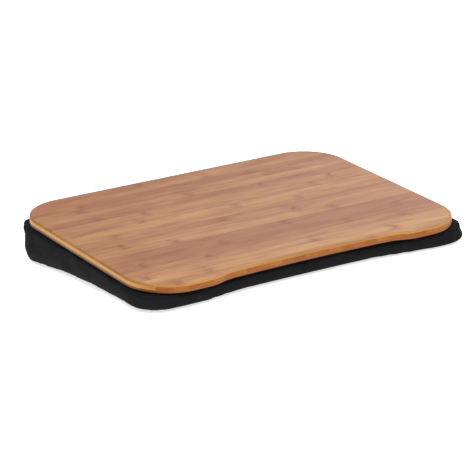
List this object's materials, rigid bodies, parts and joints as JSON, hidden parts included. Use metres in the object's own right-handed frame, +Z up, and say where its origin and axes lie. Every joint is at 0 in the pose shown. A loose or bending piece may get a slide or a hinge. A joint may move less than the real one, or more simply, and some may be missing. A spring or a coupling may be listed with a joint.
{
  "type": "lap tray with cushion",
  "caption": "Sloping lap tray: a flat rounded board of bamboo staves with a bayed front edge, lifting off a black wedge cushion with a zipped cover.",
  "frame": {"origin": "on the resting surface, at the middle of the footprint", "axes": "+X to the user's right along the long side, +Y away from the user to the high back, +Z up"},
  "size_m": [0.51, 0.3697, 0.0697],
  "materials": {
    "bamboo_face": "satin lacquer over horizontal bamboo staves",
    "bamboo_core": "satin lacquer over cross-laid bamboo staves",
    "bamboo_back": "satin lacquer over bamboo staves",
    "cover_cloth": "black plain-woven polyester",
    "foam": "soft polyurethane foam",
    "hook_tape": "black nylon hooks",
    "loop_tape": "black napped nylon loops",
    "zip_tape": "black woven polyester tape",
    "zip_teeth": "black moulded acetal",
    "slider_enamel": "black enamelled zinc"
  },
  "bodies": {
    "cushion": {"foam_wedge": "foam", "cover_top_panel": "cover_cloth", "cover_bottom_panel": "cover_cloth", "front_band": "cover_cloth", "left_band": "cover_cloth", "right_band": "cover_cloth", "back_band_upper": "cover_cloth", "back_band_lower": "cover_cloth", "loop_strips": "loop_tape", "zip_tape_upper": "zip_tape", "zip_tape_lower": "zip_tape", "zip_teeth_upper": "zip_teeth", "zip_teeth_lower": "zip_teeth", "zip_stops": "zip_teeth"},
    "board": {"top_stave_01": "bamboo_face", "top_stave_02": "bamboo_face", "top_stave_03": "bamboo_face", "top_stave_04": "bamboo_face", "top_stave_05": "bamboo_face", "top_stave_06": "bamboo_face", "top_stave_07": "bamboo_face", "top_stave_08": "bamboo_face", "top_stave_09": "bamboo_face", "top_stave_10": "bamboo_face", "top_stave_11": "bamboo_face", "top_stave_12": "bamboo_face", "top_stave_13": "bamboo_face", "top_stave_14": "bamboo_face", "top_stave_15": "bamboo_face", "top_stave_16": "bamboo_face", "top_stave_17": "bamboo_face", "top_stave_18": "bamboo_face", "top_stave_19": "bamboo_face", "top_stave_20": "bamboo_face", "core_staves": "bamboo_core", "bottom_staves": "bamboo_back", "hook_strips": "hook_tape"},
    "zip_slider": {"zip_slider": "slider_enamel"},
    "zip_pull": {"zip_pull": "slider_enamel"}
  },
  "joints": [
    {"name": "board_lift", "type": "slide", "parent": "cushion", "child": "board", "axis": [0, -0.0971, 0.9953], "range_m": [0, 0.08]},
    {"name": "zip_travel", "type": "slide", "parent": "cushion", "child": "zip_slider", "axis": [-1, 0, 0], "range_m": [0, 0.353], "deforming": ["zip_teeth_upper", "zip_teeth_lower"]},
    {"name": "pull_swing", "type": "hinge", "parent": "zip_slider", "child": "zip_pull", "pos_m": [0.179, 0.18245, 0.034], "axis": [0, 0, -1], "range_deg": [0, 170]}
  ]
}
